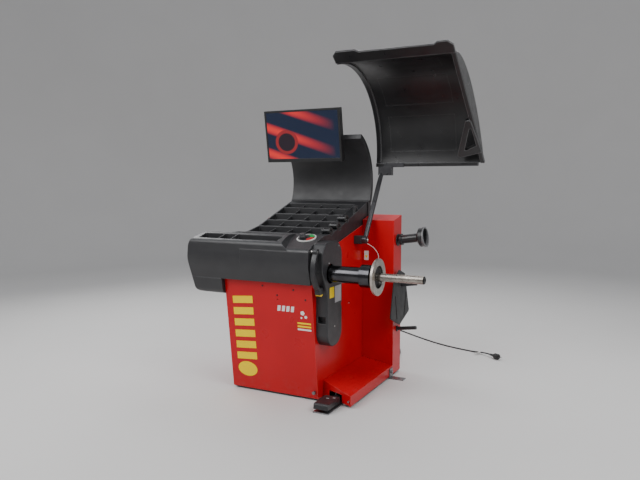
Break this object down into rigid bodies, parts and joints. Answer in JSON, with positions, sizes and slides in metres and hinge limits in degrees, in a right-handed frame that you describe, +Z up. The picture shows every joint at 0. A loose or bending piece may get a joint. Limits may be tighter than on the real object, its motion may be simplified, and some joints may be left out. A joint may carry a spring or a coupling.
{
  "type": "wheel balancer machine",
  "caption": "Free-standing wheel balancer: red cabinet with weight tray, overhanging head, horizontal spindle, swinging wheel guard, tilting screen, brake pedal and mains cord.",
  "frame": {"origin": "middle of the footprint of everything but the free cord, on the floor", "axes": "+X along the spindle towards the wheel, +Y to the back, +Z up; the operator stands at -Y"},
  "size_m": [1.4591, 1.8707, 1.8257],
  "materials": {
    "red_paint": "glossy red powder coat",
    "black_paint": "satin black paint",
    "black_plastic": "satin textured black",
    "hood_plastic": "satin black",
    "polished_steel": "polished dark steel",
    "worn_steel": "ground steel",
    "grey_steel": "grey steel",
    "cast_metal": "painted casting",
    "aluminium": "satin",
    "rubber": "matte",
    "white_plastic": "glossy white",
    "green_plastic": "glossy green",
    "red_plastic": "glossy red",
    "screen": "dark screen",
    "board": "green circuit board",
    "cable": "black cable sheath",
    "pale_cable": "pale cable sheath"
  },
  "bodies": {
    "frame": {"anchor_bracket": "grey_steel", "back_panel": "black_plastic", "base_frame": "black_paint", "brake_cable": "cable", "brake_caliper": "cast_metal", "cabinet_shell": "red_paint", "circuit_board": "board", "collet_rings": "rubber", "collets": "worn_steel", "control_ring": "white_plastic", "cord_gland": "black_plastic", "cord_tag": "white_plastic", "drive_belt": "rubber", "drive_motor": "aluminium", "floor_feet": "rubber", "force_sensors": "worn_steel", "gauge_rail": "worn_steel", "guard_hinge_block": "grey_steel", "guard_switch_cable": "pale_cable", "guard_tower": "red_paint", "head_cover": "black_plastic", "head_tub": "black_plastic", "inner_frame": "black_paint", "monitor_arm": "black_paint", "pedal_base": "grey_steel", "power_cord": "cable", "power_plug": "rubber", "power_supply": "aluminium", "rear_cover": "red_paint", "screws_and_bolts": "worn_steel", "shaft_cover": "black_plastic", "spindle_bearings": "worn_steel", "spindle_housing": "cast_metal", "step_cover": "red_paint", "storage_pegs": "black_plastic", "weight_tray": "black_plastic"},
    "monitor": {"monitor_housing": "black_plastic", "monitor_screen": "screen"},
    "wheel_spindle": {"spindle": "worn_steel", "hub_sleeve": "polished_steel", "wheel_flange": "worn_steel", "spindle_pulley": "aluminium", "encoder_disc": "black_paint", "brake_disc": "worn_steel"},
    "motor_rotor": {"motor_pulley": "aluminium"},
    "brake_pad": {"brake_pad": "rubber"},
    "brake_pedal": {"brake_pedal": "black_plastic"},
    "guard": {"guard_arm": "grey_steel", "guard_hood": "hood_plastic"},
    "gauge_slide": {"gauge_slide": "aluminium"},
    "gauge_arm": {"gauge_rod": "worn_steel", "gauge_lever": "black_plastic"},
    "knob_shaft": {"knob_shaft": "worn_steel"},
    "control_knob": {"control_knob": "black_plastic"},
    "start_button": {"start_button": "green_plastic"},
    "stop_button": {"stop_button": "red_plastic"},
    "mains_switch": {"mains_switch": "black_plastic"},
    "wheel_clamp": {"quick_nut": "black_plastic", "pressure_cup": "black_plastic"},
    "width_caliper": {"width_caliper": "black_plastic"}
  },
  "joints": [
    {"name": "wheel_spin", "type": "hinge", "parent": "frame", "child": "wheel_spindle", "pos_m": [0.43348, -0.30205, 0.684], "axis": [1, 0, 0], "continuous": true},
    {"name": "motor_spin", "type": "hinge", "parent": "frame", "child": "motor_rotor", "pos_m": [-0.34852, -0.12705, 0.47], "axis": [1, 0, 0], "continuous": true},
    {"name": "guard_swing", "type": "hinge", "parent": "frame", "child": "guard", "pos_m": [0.09248, 0.16395, 0.82], "axis": [1, 0, 0], "range_deg": [0, 70]},
    {"name": "monitor_tilt", "type": "hinge", "parent": "frame", "child": "monitor", "pos_m": [-0.31352, 0.22701, 1.36143], "axis": [1, 0, 0], "range_deg": [-12, 8]},
    {"name": "gauge_pull", "type": "slide", "parent": "frame", "child": "gauge_slide", "axis": [1, 0, 0], "range_m": [0, 0.25]},
    {"name": "gauge_swing", "type": "hinge", "parent": "gauge_slide", "child": "gauge_arm", "pos_m": [0.03348, -0.41705, 0.806], "axis": [-1, 0, 0], "range_deg": [0, 60]},
    {"name": "knob_push", "type": "slide", "parent": "frame", "child": "knob_shaft", "axis": [0, 0.2756, -0.9613], "range_m": [0, 0.0012], "stiffness_N_per_m": 900, "springref_m": -0.001},
    {"name": "knob_turn", "type": "hinge", "parent": "knob_shaft", "child": "control_knob", "pos_m": [-0.06452, -0.29882, 0.85782], "axis": [0, -0.2756, 0.9613], "continuous": true},
    {"name": "start_press", "type": "slide", "parent": "frame", "child": "start_button", "axis": [0, 0.2756, -0.9613], "range_m": [0, 0.0018], "stiffness_N_per_m": 900, "springref_m": -0.001},
    {"name": "stop_press", "type": "slide", "parent": "frame", "child": "stop_button", "axis": [0, 0.2756, -0.9613], "range_m": [0, 0.0018], "stiffness_N_per_m": 900, "springref_m": -0.001},
    {"name": "pedal_press", "type": "hinge", "parent": "frame", "child": "brake_pedal", "pos_m": [0.12448, -0.22505, 0.03], "axis": [1, 0, 0], "range_deg": [0, 3], "stiffness_Nm_per_rad": 20, "springref_deg": -14.32},
    {"name": "brake_press", "type": "slide", "parent": "frame", "child": "brake_pad", "axis": [-1, 0, 0], "range_m": [0, 0.0017]},
    {"name": "switch_rock", "type": "hinge", "parent": "frame", "child": "mains_switch", "pos_m": [-0.40652, 0.39695, 0.16], "axis": [1, 0, 0], "range_deg": [0, 10]},
    {"name": "clamp_slide", "type": "slide", "parent": "frame", "child": "wheel_clamp", "axis": [0.9903, 0, 0.1392], "range_m": [0, 0.12]},
    {"name": "caliper_slide", "type": "slide", "parent": "frame", "child": "width_caliper", "axis": [0.9903, 0, 0.1392], "range_m": [0, 0.09]}
  ],
  "couplings": [
    {"joint": "motor_spin", "follows": "wheel_spin", "ratio": 2.7692},
    {"joint": "brake_press", "follows": "pedal_press", "m_per_rad": 0.03151}
  ]
}
